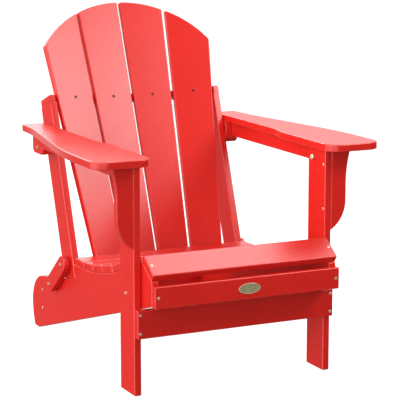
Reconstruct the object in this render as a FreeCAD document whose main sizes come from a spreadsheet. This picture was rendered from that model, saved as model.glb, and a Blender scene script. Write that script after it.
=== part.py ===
import FreeCAD, Part
import math
import os
import Sketcher

# Folding Adirondack chair of solid plastic boards.
# The chair faces -Y, +Z is up, and every size is in millimetres and degrees.
# Sub-parts are drawn with Y measured back from the front edge of the front legs, and every
# placement then moves them so that the origin is under the middle of the whole chair.

CELLS = {
    # boards and the side planes of the frame
    "board": 19.0,
    "frame_half": 257.0,
    "washer_room": 1.5,
    "washer_thick": 1.0,
    "arm_room": 0.5,
    "turn_room": 0.4,
    # front legs and their apron
    "leg_width": 88.5,
    "sole_height": 0.0,
    "leg_round": 26.0,
    "arm_under": 584.5,
    "low_apron_half": 275.5,
    "low_apron_base": 150.0,
    "low_apron_top": 222.2,
    # seat contour: a straight slope, then an arc that runs out level
    "seat_slope": 18.0,
    "seat_radius": 900.0,
    "seat_level": 261.5,
    "seat_arc_end": 431.0,
    "peak_depth": -10.4,
    "seat_rear": 447.5,
    "front_slope": 34.7,
    "front_slat_width": 69.5,
    "slat_width": 59.0,
    "slat_pitch": 66.4,
    "slat_start": 7.0,
    "nose_setback": 2.8,
    # side rails
    "rail_front": -62.5,
    "rail_nose_base": 241.4,
    "foot_front": 739.5,
    "rail_rear": 787.0,
    "heel_height": 70.7,
    "heel_round": 87.0,
    "foot_round": 160.0,
    "ledge_slope": 9.8,
    "up_apron_base": 238.0,
    "up_apron_top": 293.5,
    "badge_length": 60.0,
    "badge_height": 27.0,
    "badge_thick": 2.0,
    "stretcher_front": 695.0,
    "stretcher_base": 48.0,
    "stretcher_height": 88.0,
    # back
    "lean": 19.7,
    "slat_lean": 21.5,
    "back_depth": 468.5,
    "upright_width": 79.0,
    "cross_depth": 73.0,
    "upright_top": 430.0,
    "pivot_line": 38.0,
    "low_board_base": -48.0,
    "slat_recess": 10.0,
    "inner_turn": 3.7,
    "outer_turn": 11.3,
    "fan_radius": 920.0,
    "slat_gap": 8.0,
    "fan_half": 191.2,
    "fan_taper": 0.099,
    "arch_radius": 306.6,
    "arch_centre": 407.4,
    # pivots
    "leg_pivot_depth": 46.7,
    "leg_pivot_height": 255.6,
    "arm_pivot_along": 312.0,
    "link_pivot_along": -13.9,
    "ledge_pivot_depth": 592.9,
    "ledge_pivot_height": 161.4,
    "link_round": 22.5,
    # arms
    "arm_front": -52.0,
    "arm_rear": 652.0,
    "arm_inner": 260.0,
    "arm_inner_front": 245.0,
    "arm_outer_front": 398.0,
    "arm_curve": 9.5,
    "flare_run": 110.0,
    "flare_start": 300.0,
    "front_arc_start": 60.0,
    "front_arc_radius": 1212.0,
    "rear_arc_start": 520.0,
    "inner_corner": 34.0,
    "outer_corner": 42.0,
    "support_front": 24.5,
    "support_drop": 41.5,
    "spacer_front": 574.0,
    "spacer_drop": 59.5,
    "spacer_corner": 16.0,
    # brackets
    "bracket_top": 333.4,
    "bracket_waist": 321.0,
    "waist_top": 495.0,
    "waist_base": 449.0,
    "bracket_toe": 373.2,
    # bolts and screws
    "bolt_radius": 4.0,
    "turning_fit": 0.06,
    "bolt_head": 8.0,
    "bolt_head_high": 3.5,
    "nut_radius": 7.5,
    "nut_high": 6.5,
    "washer_radius": 11.0,
    "screw_radius": 2.2,
    "screw_head": 4.2,
    "screw_head_high": 2.4,
    "screw_length": 45.0,
    "slat_screw_length": 40.0,
    "arm_screw_length": 53.0,
    "spacer_screw_length": 34.0,
    "spacer_screw_rise": 44.0,
    "link_head_room": 0.3,
    "slat_screw_inset": 9.5,
    "seat_fit": 0.05,
    "low_board_room": 0.5,
    "top_board_notch": 4.0,
}

# places of the screws: shares of a board's height, heights, and depths from its front
STRETCHER_SCREW_SHARES = (0.2, 0.8)
LEG_APRON_SCREW_SHARES = (0.18, 0.84)
BRACKET_SCREW_HEIGHTS = (430.0, 545.0)
ARM_SCREW_DEPTHS = (110.0, 300.0, 490.0)
SPACER_SCREW_DEPTHS = (590.0, 636.0)
UPRIGHT_SCREW_DEPTHS = (18.0, 52.0)
LOW_BOARD_SCREW_DEPTH = 60.0
SEAT_SLATS_ON_CONTOUR = 7
# two neighbouring slats meet at one gap, and this keeps the facets' corners apart
FACET_STEP = 0.01

SIDES = {"left": -1, "right": 1}


class Size:
    """A number together with the sheet expression that gives it."""

    def __init__(self, value, text):
        self.value = float(value)
        self.text = text

    def __add__(self, other):
        other = size_of(other)
        return Size(self.value + other.value, "(" + self.text + " + " + other.text + ")")

    def __sub__(self, other):
        other = size_of(other)
        return Size(self.value - other.value, "(" + self.text + " - " + other.text + ")")

    def __mul__(self, other):
        other = size_of(other)
        return Size(self.value * other.value, "(" + self.text + " * " + other.text + ")")

    def __truediv__(self, other):
        other = size_of(other)
        return Size(self.value / other.value, "(" + self.text + " / " + other.text + ")")

    def __neg__(self):
        return Size(-self.value, "(0 - " + self.text + ")")


def size_of(thing):
    """A plain number as a Size, and a Size as it is."""
    if isinstance(thing, Size):
        return thing
    return Size(thing, "(" + repr(float(thing)) + ")")


def cell(name):
    """The size that one cell of the sheet holds."""
    return Size(CELLS[name], "Sizes." + name)


def sine(angle):
    return Size(math.sin(math.radians(angle.value)), "sin(" + angle.text + " * 1 deg)")


def cosine(angle):
    return Size(math.cos(math.radians(angle.value)), "cos(" + angle.text + " * 1 deg)")


def root(size):
    return Size(math.sqrt(size.value), "sqrt(" + size.text + ")")


doc = FreeCAD.newDocument("AdirondackChair")
sheet = doc.addObject("Spreadsheet::Sheet", "Sizes")
for row, (name, value) in enumerate(CELLS.items(), start=1):
    sheet.set("A" + str(row), name)
    sheet.set("B" + str(row), str(value))
    sheet.setAlias("B" + str(row), name)
doc.recompute()

# ---- sizes worked out from the cells -------------------------------------------------------

board = cell("board")
zero = size_of(0)
rail_out = cell("frame_half")
rail_in = rail_out - board
leg_in = rail_out + cell("washer_room")
leg_out = leg_in + board
link_head = leg_out + cell("link_head_room")
support_in = leg_out + cell("arm_room")
support_out = support_in + board
spacer_in = support_in - board
centre_shift = -(cell("rail_rear") + cell("rail_front") - board - cell("badge_thick")) / 2
leg_top = cell("arm_under") - cell("turn_room")
lean_sin = sine(cell("lean"))
lean_cos = cosine(cell("lean"))
bolt_hole = cell("bolt_radius") + cell("turning_fit")


def back_point(along, behind):
    """Depth and height of a point on the back's side, from the front corner at seat level."""
    depth = cell("back_depth") + along * lean_sin + behind * lean_cos
    height = cell("seat_level") + along * lean_cos - behind * lean_sin
    return depth, height


# the underside of the seat slats, which is the top edge of the rails
slope_sin = sine(cell("seat_slope"))
slope_cos = cosine(cell("seat_slope"))
rail_radius = cell("seat_radius") + board
rail_level = cell("seat_level") - board
arc_start_depth = cell("seat_arc_end") - rail_radius * slope_sin
arc_start_height = rail_level + rail_radius - rail_radius * slope_cos
peak_height = arc_start_height + (arc_start_depth - cell("peak_depth")) * slope_sin / slope_cos
front_tangent = sine(cell("front_slope")) / cosine(cell("front_slope"))
nose_height = peak_height - (cell("peak_depth") - cell("rail_front")) * front_tangent

# the ledge behind the seat, tangent to the rail's rounded heel
ledge_sin = sine(cell("ledge_slope"))
ledge_cos = cosine(cell("ledge_slope"))
heel_depth = cell("rail_rear") - cell("heel_round")
ledge_end_depth = heel_depth + cell("heel_round") * ledge_sin
ledge_end_height = cell("heel_height") + cell("heel_round") * ledge_cos
ledge_fall = ledge_sin / ledge_cos


def along_at_ledge(behind, lift):
    """Distance along the back at which a line meets the ledge, or a line lifted above it."""
    ledge_at_zero = ledge_end_height + ledge_fall * ledge_end_depth + lift
    start_depth, start_height = back_point(zero, size_of(behind))
    rise = ledge_at_zero - ledge_fall * start_depth - start_height
    return rise / (lean_cos + ledge_fall * lean_sin)


leg_pivot = (cell("leg_pivot_depth"), cell("leg_pivot_height"))
arm_pivot = (cell("leg_width") - cell("leg_round"), leg_top - cell("leg_round"))
back_pivot = back_point(cell("link_pivot_along"), cell("pivot_line"))
rear_arm_pivot = back_point(cell("arm_pivot_along"), cell("pivot_line"))
ledge_pivot = (cell("ledge_pivot_depth"), cell("ledge_pivot_height"))

nodes = {}


# ---- ways of making a piece ----------------------------------------------------------------

def origin_plane(body, role):
    for feature in body.Origin.OriginFeatures:
        if feature.Role == role:
            return feature
    raise ValueError("no plane " + role)


def pin_point(sketch, geometry, position, point):
    """Fix one sketch point at a place that the sheet gives."""
    for kind, size in zip(("DistanceX", "DistanceY"), point):
        index = sketch.addConstraint(Sketcher.Constraint(kind, -1, 1, geometry, position, size.value))
        sketch.setExpression("Constraints[" + str(index) + "]", size.text)


def draw_outline(sketch, outline, mirror):
    """Draw a closed outline.

    Each entry is (point,) for a straight run to that point, or (point, radius, turn) for an arc
    to it, where turn is 1 for an arc that turns left and -1 for one that turns right.
    """
    flip = -1 if mirror else 1
    points = [(entry[0][0] * flip, entry[0][1]) for entry in outline]
    for number, entry in enumerate(outline):
        start = points[number - 1]
        end = points[number]
        start_vector = FreeCAD.Vector(start[0].value, start[1].value, 0)
        end_vector = FreeCAD.Vector(end[0].value, end[1].value, 0)
        if len(entry) == 1:
            geometry = sketch.addGeometry(Part.LineSegment(start_vector, end_vector))
            first, last = 1, 2
        else:
            turn = entry[2] * flip
            chord = end_vector - start_vector
            middle = (start_vector + end_vector) * 0.5
            rise = math.sqrt(max(entry[1].value ** 2 - chord.Length ** 2 / 4, 0))
            left = FreeCAD.Vector(-chord.y, chord.x, 0).normalize()
            centre = middle + left * rise * turn
            angles = []
            for place in (start_vector, end_vector):
                angles.append(math.atan2(place.y - centre.y, place.x - centre.x))
            if turn < 0:
                angles.reverse()
            circle = Part.Circle(centre, FreeCAD.Vector(0, 0, 1), entry[1].value)
            geometry = sketch.addGeometry(Part.ArcOfCircle(circle, angles[0], angles[1]))
            first, last = (1, 2) if turn > 0 else (2, 1)
            index = sketch.addConstraint(Sketcher.Constraint("Radius", geometry, entry[1].value))
            sketch.setExpression("Constraints[" + str(index) + "]", entry[1].text)
        pin_point(sketch, geometry, last, end)
        pin_point(sketch, geometry, first, start)


def make_board(name, plane, outline, shift, holes=(), thick=board, mirror=False, turn=None):
    """A flat board: an outline and round holes, padded to its thickness."""
    body = doc.addObject("PartDesign::Body", name)
    body.Label = name
    sketch = body.newObject("Sketcher::SketchObject", name + "_outline")
    sketch.AttachmentSupport = (origin_plane(body, plane), [""])
    sketch.MapMode = "FlatFace"
    draw_outline(sketch, outline, mirror)
    for centre, radius in holes:
        flip = -1 if mirror else 1
        place = FreeCAD.Vector(centre[0].value * flip, centre[1].value, 0)
        circle = Part.Circle(place, FreeCAD.Vector(0, 0, 1), radius.value)
        geometry = sketch.addGeometry(circle)
        index = sketch.addConstraint(Sketcher.Constraint("Radius", geometry, radius.value))
        sketch.setExpression("Constraints[" + str(index) + "]", radius.text)
        pin_point(sketch, geometry, 3, (centre[0] * flip, centre[1]))
    pad = body.newObject("PartDesign::Pad", name + "_pad")
    pad.Profile = sketch
    pad.setExpression("Length", thick.text)
    place_piece(body, shift, turn)
    nodes[name] = body
    return body


def place_piece(piece, shift, turn=None):
    """Put a piece at its place, moved to the chair's own origin."""
    shift = [size_of(part) for part in shift]
    moved = [shift[0], shift[1] + centre_shift, shift[2]]
    vector = FreeCAD.Vector(*[part.value for part in moved])
    piece.Placement = FreeCAD.Placement(vector, turn or FreeCAD.Rotation())
    for letter, part in zip("xyz", moved):
        piece.setExpression("Placement.Base." + letter, part.text)


def make_box(name, lengths, shift, turn=None):
    """A plain rectangular board."""
    box = doc.addObject("Part::Box", name)
    box.Label = name
    for side, length in zip(("Length", "Width", "Height"), lengths):
        box.setExpression(side, size_of(length).text)
    place_piece(box, shift, turn)
    nodes[name] = box
    return box


def side_shift(side, inner, thick=board):
    """Where the pad of a side board starts, for a board whose inner face is at inner."""
    if side > 0:
        return (inner, zero, zero)
    return (-(inner + thick), zero, zero)


def point_at(across, depth, height):
    """A point of the chair, as a vector in the chair's own frame."""
    values = [size_of(part).value for part in (across, depth, height)]
    return FreeCAD.Vector(values[0], values[1] + centre_shift.value, values[2])


def screw_solid(place, direction, length=None):
    """A countersunk screw whose flat head is flush at place."""
    length = length or CELLS["screw_length"]
    high = CELLS["screw_head_high"]
    head = Part.makeCone(CELLS["screw_head"], CELLS["screw_radius"], high, place, direction)
    shank = Part.makeCylinder(CELLS["screw_radius"], length - high, place + direction * high, direction)
    return head.fuse(shank).removeSplitter()


def bolt_solid(place, direction, length):
    """A round-headed bolt: the head's flat side is at place and the shank goes along direction."""
    radius = CELLS["bolt_head"]
    high = CELLS["bolt_head_high"]
    ball = (radius * radius + high * high) / (2 * high)
    dome = Part.makeSphere(ball, place + direction * (ball - high))
    slab = Part.makeCylinder(radius, high, place - direction * high, direction)
    shank = Part.makeCylinder(CELLS["bolt_radius"], length, place, direction)
    return dome.common(slab).fuse(shank).removeSplitter()


def nut_solid(place, direction, filled=False):
    """A round-ended lock nut, with its bolt's hole unless it is filled."""
    body = Part.makeCylinder(CELLS["nut_radius"], CELLS["nut_high"], place, direction)
    if filled:
        return body
    bore = Part.makeCylinder(CELLS["bolt_radius"], CELLS["nut_high"], place, direction)
    return body.cut(bore)


def washer_solid(place, direction):
    disc = Part.makeCylinder(CELLS["washer_radius"], CELLS["washer_thick"], place, direction)
    return disc.cut(Part.makeCylinder(bolt_hole.value, CELLS["washer_thick"], place, direction))


def make_group(name, solids):
    """Like fasteners in one node, as separate solids."""
    group = doc.addObject("Part::Feature", name)
    group.Label = name
    group.Shape = Part.makeCompound(solids)
    nodes[name] = group
    return group


def drill(board_name, group):
    """Cut the holes of a group of screws out of a board, which keeps its name."""
    plain = nodes[board_name]
    plain.Label = board_name + "_blank"
    cut = doc.addObject("Part::Cut", board_name + "_drilled")
    cut.Base = plain
    cut.Tool = group
    cut.Label = board_name
    nodes[board_name] = cut


RIGHT = FreeCAD.Vector(1, 0, 0)
REAR = FreeCAD.Vector(0, 1, 0)
UP = FreeCAD.Vector(0, 0, 1)


# ---- seat frame ----------------------------------------------------------------------------

def make_rails():
    """Two side rails: nose, seat contour, back stop, ledge, rounded heel and flat foot."""
    stop = -cell("turn_room") * 2
    stop_drop = (rail_level - back_point(zero, stop)[1]) / lean_cos
    foot_rise = root(cell("foot_round") * cell("foot_round") - cell("heel_height") * cell("heel_height"))
    foot_rear = cell("rail_rear") - cell("foot_round") + foot_rise
    outline = [
        ((cell("rail_front"), cell("rail_nose_base")),),
        ((cell("foot_front"), zero),),
        ((foot_rear, zero),),
        ((cell("rail_rear"), cell("heel_height")), cell("foot_round"), 1),
        ((ledge_end_depth, ledge_end_height), cell("heel_round"), 1),
        (back_point(along_at_ledge(stop, zero), stop),),
        (back_point(stop_drop, stop),),
        ((cell("seat_arc_end"), rail_level),),
        ((arc_start_depth, arc_start_height), rail_radius, -1),
        ((cell("peak_depth"), peak_height),),
        ((cell("rail_front"), nose_height),),
    ]
    holes = [(leg_pivot, bolt_hole), (ledge_pivot, cell("bolt_radius"))]
    for label, side in SIDES.items():
        make_board("rail_" + label, "YZ_Plane", outline, side_shift(side, rail_in), holes)


def contour_point(run):
    """Depth and height on the rails' top edge, at a distance back from its peak."""
    slope = math.radians(CELLS["seat_slope"])
    straight = (arc_start_depth.value - CELLS["peak_depth"]) / math.cos(slope)
    arc = rail_radius.value * slope
    if run < straight:
        depth = CELLS["peak_depth"] + run * math.cos(slope)
        return depth, peak_height.value - run * math.sin(slope)
    if run < straight + arc:
        left = slope - (run - straight) / rail_radius.value
        depth = CELLS["seat_arc_end"] - rail_radius.value * math.sin(left)
        return depth, rail_level.value + rail_radius.value * (1 - math.cos(left))
    return CELLS["seat_arc_end"] + run - straight - arc, rail_level.value


def seat_slat(name, start, width, tilt, screws):
    """One seat slat whose lower front edge is at start, and the screws of its two ends."""
    turn = FreeCAD.Rotation(RIGHT, tilt)
    make_box(name, (rail_out * 2, width, board), (-rail_out, start[0], start[1]), turn)
    along = turn.multVec(REAR)
    normal = turn.multVec(UP)
    middle = point_at(0, start[0], start[1]) + along * (size_of(width).value / 2) + normal * board.value
    for side in SIDES.values():
        place = middle + RIGHT * (side * (rail_in.value + rail_out.value) / 2)
        screws.append(screw_solid(place, normal * -1))


def make_seat():
    """The rolled front slat, six slats along the contour and a wider one at the back."""
    screws = []
    setback = CELLS["nose_setback"]
    nose = (CELLS["rail_front"] + setback, nose_height.value + setback * front_tangent.value)
    seat_slat("seat_slat_front", nose, cell("front_slat_width"), CELLS["front_slope"], screws)
    names = ["seat_slat_front"]
    for number in range(SEAT_SLATS_ON_CONTOUR):
        run = CELLS["slat_start"] + number * CELLS["slat_pitch"]
        start = contour_point(run)
        is_rear = number == SEAT_SLATS_ON_CONTOUR - 1
        if is_rear:
            name = "seat_slat_rear"
            end = (CELLS["seat_rear"], rail_level.value)
        else:
            name = "seat_slat_" + str(number + 1)
            end = contour_point(run + CELLS["slat_width"])
        tilt = math.degrees(math.atan2(end[1] - start[1], end[0] - start[0]))
        reach = size_of(math.hypot(end[0] - start[0], end[1] - start[1]))
        seat_slat(name, start, reach if is_rear else cell("slat_width"), tilt, screws)
        names.append(name)
    group = make_group("seat_screws", screws)
    for name in names + ["rail_left", "rail_right"]:
        drill(name, group)


def make_front_apron():
    """The board across the rails' noses, with its two screws and a blank oval plate."""
    front = cell("rail_front") - board
    height = cell("up_apron_top") - cell("up_apron_base")
    make_box("front_apron", (rail_out * 2, board, height), (-rail_out, front, cell("up_apron_base")))
    middle = (CELLS["up_apron_base"] + CELLS["up_apron_top"]) / 2
    screws = []
    for side in SIDES.values():
        place = point_at((rail_in + board / 2) * side, front, middle)
        screws.append(screw_solid(place, REAR))
    group = make_group("front_apron_screws", screws)
    for name in ("front_apron", "rail_left", "rail_right"):
        drill(name, group)
    centre = point_at(0, front, middle)
    oval = Part.Ellipse(centre + RIGHT * (CELLS["badge_length"] / 2),
                        centre + UP * (CELLS["badge_height"] / 2), centre)
    face = Part.Face(Part.Wire(oval.toShape()))
    plate = doc.addObject("Part::Feature", "badge_plate")
    plate.Label = "badge_plate"
    plate.Shape = face.extrude(REAR * -CELLS["badge_thick"])
    nodes["badge_plate"] = plate


def make_rear_stretcher():
    """The board between the rails' heels, screwed through each rail."""
    make_box("rear_stretcher", (rail_in * 2, board, cell("stretcher_height")),
             (-rail_in, cell("stretcher_front"), cell("stretcher_base")))
    screws = []
    for side in SIDES.values():
        for part in STRETCHER_SCREW_SHARES:
            height = CELLS["stretcher_base"] + part * CELLS["stretcher_height"]
            place = point_at(rail_out * side, cell("stretcher_front") + board / 2, height)
            screws.append(screw_solid(place, RIGHT * -side))
    group = make_group("stretcher_screws", screws)
    for name in ("rear_stretcher", "rail_left", "rail_right"):
        drill(name, group)


def make_ledge_bolts():
    """The fixed bolts at the rails' ledges, on which the links turn."""
    bolts = []
    nuts = []
    for side in SIDES.values():
        head = point_at(link_head * side, ledge_pivot[0], ledge_pivot[1])
        end = rail_in - cell("nut_high")
        bolts.append(bolt_solid(head, RIGHT * -side, (link_head - end).value))
        nuts.append(nut_solid(point_at(rail_in * side, ledge_pivot[0], ledge_pivot[1]), RIGHT * -side))
    make_group("ledge_bolts", bolts)
    make_group("ledge_nuts", nuts)


# ---- front frame ---------------------------------------------------------------------------

def make_legs():
    """Two front legs, rounded at the top behind so that the arms can turn."""
    outline = [
        ((zero, cell("sole_height")),),
        ((cell("leg_width"), cell("sole_height")),),
        ((cell("leg_width"), arm_pivot[1]),),
        ((arm_pivot[0], leg_top), cell("leg_round"), 1),
        ((zero, leg_top),),
    ]
    holes = [(leg_pivot, cell("bolt_radius")), (arm_pivot, bolt_hole)]
    for label, side in SIDES.items():
        make_board("leg_" + label, "YZ_Plane", outline, side_shift(side, leg_in), holes)


def make_leg_apron():
    """The low board screwed to the front edges of both legs."""
    height = cell("low_apron_top") - cell("low_apron_base")
    half = cell("low_apron_half")
    make_box("leg_apron", (half * 2, board, height), (-half, -board, cell("low_apron_base")))
    screws = []
    for side in SIDES.values():
        for part in LEG_APRON_SCREW_SHARES:
            place = point_at((leg_in + board / 2) * side, -board, cell("low_apron_base") + height * part)
            screws.append(screw_solid(place, REAR))
    group = make_group("leg_apron_screws", screws)
    for name in ("leg_apron", "leg_left", "leg_right"):
        drill(name, group)


def make_brackets():
    """A curved bracket on the outside of each leg, under the arm."""
    step = cell("bracket_top") - cell("bracket_waist")
    rise = leg_top - cell("waist_top")
    upper_radius = (step * step + rise * rise) / (step * 2)
    reach = cell("bracket_waist") - leg_out
    fall = cell("waist_base") - cell("bracket_toe")
    lower_radius = (reach * reach + fall * fall) / (reach * 2)
    outline = [
        ((leg_out, cell("bracket_toe")),),
        ((cell("bracket_waist"), cell("waist_base")), lower_radius, 1),
        ((cell("bracket_waist"), cell("waist_top")),),
        ((cell("bracket_top"), leg_top), upper_radius, -1),
        ((leg_out, leg_top),),
    ]
    screws = []
    for label, side in SIDES.items():
        make_board("bracket_" + label, "XZ_Plane", outline, (zero, board, zero), mirror=side < 0)
        for height in BRACKET_SCREW_HEIGHTS:
            place = point_at(leg_in * side, board / 2, height)
            screws.append(screw_solid(place, RIGHT * side))
    group = make_group("bracket_screws", screws)
    for name in ("bracket_left", "bracket_right", "leg_left", "leg_right"):
        drill(name, group)


def make_leg_bolts():
    """Bolts, nuts and washers on which the front frame turns in the rails."""
    bolts = []
    nuts = []
    washers = []
    for side in SIDES.values():
        head = point_at(leg_out * side, leg_pivot[0], leg_pivot[1])
        nut_face = rail_in - cell("arm_room")
        length = leg_out - nut_face + cell("nut_high")
        bolts.append(bolt_solid(head, RIGHT * -side, length.value))
        nuts.append(nut_solid(point_at(nut_face * side, leg_pivot[0], leg_pivot[1]), RIGHT * -side))
        washers.append(washer_solid(point_at(leg_in * side, leg_pivot[0], leg_pivot[1]), RIGHT * -side))
    make_group("leg_bolts", bolts)
    make_group("leg_nuts", nuts)
    make_group("leg_washers", washers)


# ---- arms ----------------------------------------------------------------------------------

def arm_outline():
    """The right arm from above: a wide rounded paddle that narrows in an S towards the back."""
    curve_sin = sine(cell("arm_curve"))
    curve_cos = cosine(cell("arm_curve"))
    curve_tan = curve_sin / curve_cos
    front_end_depth = cell("front_arc_start") + cell("front_arc_radius") * curve_sin
    front_end_across = cell("arm_outer_front") - cell("front_arc_radius") * (-curve_cos + 1)
    rear_start_across = front_end_across - (cell("rear_arc_start") - front_end_depth) * curve_tan
    rear_radius = (cell("arm_rear") - cell("rear_arc_start")) / curve_sin
    rear_across = rear_start_across - rear_radius * (-curve_cos + 1)
    inner_round = cell("inner_corner")
    outer_round = cell("outer_corner")
    flare = cell("arm_inner") - cell("arm_inner_front")
    flare_run = cell("flare_run")
    flare_radius = (flare * flare / 4 + flare_run * flare_run / 4) / flare
    flare_start = cell("flare_start")
    flare_middle = (cell("arm_inner") - flare / 2, flare_start - flare_run / 2)
    return [
        ((cell("arm_inner"), cell("arm_rear")),),
        ((cell("arm_inner"), flare_start),),
        (flare_middle, flare_radius, -1),
        ((cell("arm_inner_front"), flare_start - flare_run), flare_radius, 1),
        ((cell("arm_inner_front"), cell("arm_front") + inner_round),),
        ((cell("arm_inner_front") + inner_round, cell("arm_front")), inner_round, 1),
        ((cell("arm_outer_front") - outer_round, cell("arm_front")),),
        ((cell("arm_outer_front"), cell("arm_front") + outer_round), outer_round, 1),
        ((cell("arm_outer_front"), cell("front_arc_start")),),
        ((front_end_across, front_end_depth), cell("front_arc_radius"), 1),
        ((rear_start_across, cell("rear_arc_start")),),
        ((rear_across, cell("arm_rear")), rear_radius, -1),
    ]


def make_arms():
    """Each arm: the board, the rail under it, the rear spacer block, bolts and screws."""
    outline = arm_outline()
    under = cell("arm_under")
    support_base = under - cell("support_drop")
    spacer_base = under - cell("spacer_drop")
    corner = cell("spacer_corner")
    support = [
        ((cell("support_front"), support_base),),
        ((cell("spacer_front"), support_base),),
        ((cell("spacer_front"), spacer_base + corner),),
        ((cell("spacer_front") + corner, spacer_base), corner, 1),
        ((cell("arm_rear") - corner, spacer_base),),
        ((cell("arm_rear"), spacer_base + corner), corner, 1),
        ((cell("arm_rear"), under),),
        ((cell("support_front"), under),),
    ]
    spacer = support[2:7] + [((cell("spacer_front"), under),)]
    for label, side in SIDES.items():
        make_board("arm_board_" + label, "XY_Plane", outline, (zero, zero, under), mirror=side < 0)
        make_board("arm_support_" + label, "YZ_Plane", support, side_shift(side, support_in),
                   [(arm_pivot, cell("bolt_radius")), (rear_arm_pivot, cell("bolt_radius"))])
        make_board("arm_spacer_" + label, "YZ_Plane", spacer, side_shift(side, spacer_in),
                   [(rear_arm_pivot, cell("bolt_radius"))])
        inward = RIGHT * -side
        head = point_at(support_out * side, arm_pivot[0], arm_pivot[1])
        nut_face = leg_in - cell("arm_room")
        length = support_out - nut_face + cell("nut_high")
        rear_head = point_at(support_out * side, rear_arm_pivot[0], rear_arm_pivot[1])
        make_group("arm_bolts_" + label, [
            bolt_solid(head, inward, length.value),
            bolt_solid(rear_head, inward, (support_out - spacer_in).value)])
        nut_place = point_at(nut_face * side, arm_pivot[0], arm_pivot[1])
        make_group("arm_nut_" + label, [nut_solid(nut_place, inward)])
        screws = []
        for depth in ARM_SCREW_DEPTHS:
            place = point_at((support_in + board / 2) * side, depth, support_base)
            screws.append(screw_solid(place, UP, CELLS["arm_screw_length"]))
        for depth in SPACER_SCREW_DEPTHS:
            height = spacer_base + cell("spacer_screw_rise")
            place = point_at(support_out * side, depth, height)
            screws.append(screw_solid(place, inward, CELLS["spacer_screw_length"]))
        group = make_group("arm_screws_" + label, screws)
        for name in ("arm_board_", "arm_support_", "arm_spacer_"):
            drill(name + label, group)


# ---- links ---------------------------------------------------------------------------------

def make_links():
    """A short round-ended board on each side, from the rail's ledge to the back's upright."""
    round_end = cell("link_round")
    run = back_pivot[0] - ledge_pivot[0]
    rise = back_pivot[1] - ledge_pivot[1]
    length = root(run * run + rise * rise)
    across_depth = -rise / length * round_end
    across_height = run / length * round_end
    outline = [
        ((ledge_pivot[0] + across_depth, ledge_pivot[1] + across_height), round_end, -1),
        ((back_pivot[0] + across_depth, back_pivot[1] + across_height),),
        ((back_pivot[0] - across_depth, back_pivot[1] - across_height), round_end, -1),
        ((ledge_pivot[0] - across_depth, ledge_pivot[1] - across_height),),
    ]
    holes = [(ledge_pivot, bolt_hole), (back_pivot, bolt_hole)]
    for label, side in SIDES.items():
        make_board("link_" + label, "YZ_Plane", outline, side_shift(side, leg_in), holes)
        washers = []
        for pivot in (ledge_pivot, back_pivot):
            washers.append(washer_solid(point_at(leg_in * side, pivot[0], pivot[1]), RIGHT * -side))
        make_group("link_washers_" + label, washers)


# ---- back ----------------------------------------------------------------------------------

SLAT_TURN = FreeCAD.Rotation(RIGHT, 90 - CELLS["slat_lean"])
slat_up = SLAT_TURN.multVec(REAR)
slat_rear = SLAT_TURN.multVec(UP) * -1
slat_root = back_point(zero, cell("slat_recess"))


def slat_plane(kind):
    """Where a slat's front face touches the hollow of the back: across, and forward of its middle."""
    turn = cell(kind + "_turn")
    across = cell("fan_radius") * sine(turn)
    forward = cell("fan_radius") * (-cosine(turn) + 1)
    return turn, across, forward


def slat_edge(count, along):
    """Distance from the middle to a slat's edge: 0 and 1 bound the inner slat, 2 and 3 the outer."""
    half = cell("fan_half") + cell("fan_taper") * along
    width = (half * 2 - cell("slat_gap") * 3) / 4
    widths = (0, 1, 1, 2)[count]
    gaps = (0.5, 0.5, 1.5, 1.5)[count]
    return width * widths + cell("slat_gap") * gaps


def slat_top(count):
    """Where a slat's edge meets the arch that trims all four slats."""
    start = slat_edge(count, zero)
    slope = slat_edge(count, size_of(1)) - start
    # (start + slope * s)^2 + (s - arch_centre)^2 = arch_radius^2
    square = slope * slope + 1
    linear = start * slope - cell("arch_centre")
    offset = start * start + cell("arch_centre") * cell("arch_centre")
    offset = offset - cell("arch_radius") * cell("arch_radius")
    along = (root(linear * linear - square * offset) - linear) / square
    return start + slope * along, along


def make_back_slats():
    """Four tapered slats in a shallow hollow, trimmed to one arch, and their screws."""
    screws = []
    names = []
    low = cell("low_board_base")
    for kind, first in (("inner", 0), ("outer", 2)):
        turn, across, forward = slat_plane(kind)
        corners = [
            (slat_edge(first, low), low),
            (slat_edge(first + 1, low), low),
            slat_top(first + 1),
            slat_top(first),
        ]
        flat = [((place[0] - across) / cosine(turn), place[1]) for place in corners]
        outline = [(flat[0],), (flat[1],), (flat[2],), (flat[3], cell("arch_radius"), 1)]
        for label, side in SIDES.items():
            name = "back_slat_" + kind + "_" + label
            angle = FreeCAD.Rotation(REAR, -side * turn.value)
            whole = SLAT_TURN.multiply(angle)
            normal = whole.multVec(UP)
            front = point_at(across * side, slat_root[0], slat_root[1]) - slat_rear * forward.value
            back_face = front - normal * board.value
            shift = [size_of(back_face.x), size_of(back_face.y) - centre_shift, size_of(back_face.z)]
            make_board(name, "XY_Plane", outline, shift, mirror=side < 0, turn=whole)
            names.append(name)
            sideways = whole.multVec(RIGHT)
            for board_base in ("upright_top", "low_board_base"):
                along = CELLS[board_base] + CELLS["slat_screw_inset"]
                middle = slat_edge(first, size_of(along)) + slat_edge(first + 1, size_of(along))
                aside = (middle / 2 - across) / cosine(turn)
                place = front + slat_up * along + sideways * (aside.value * side)
                screws.append(screw_solid(place, normal * -1, CELLS["slat_screw_length"]))
    return make_group("back_slat_screws", screws), names


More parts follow.
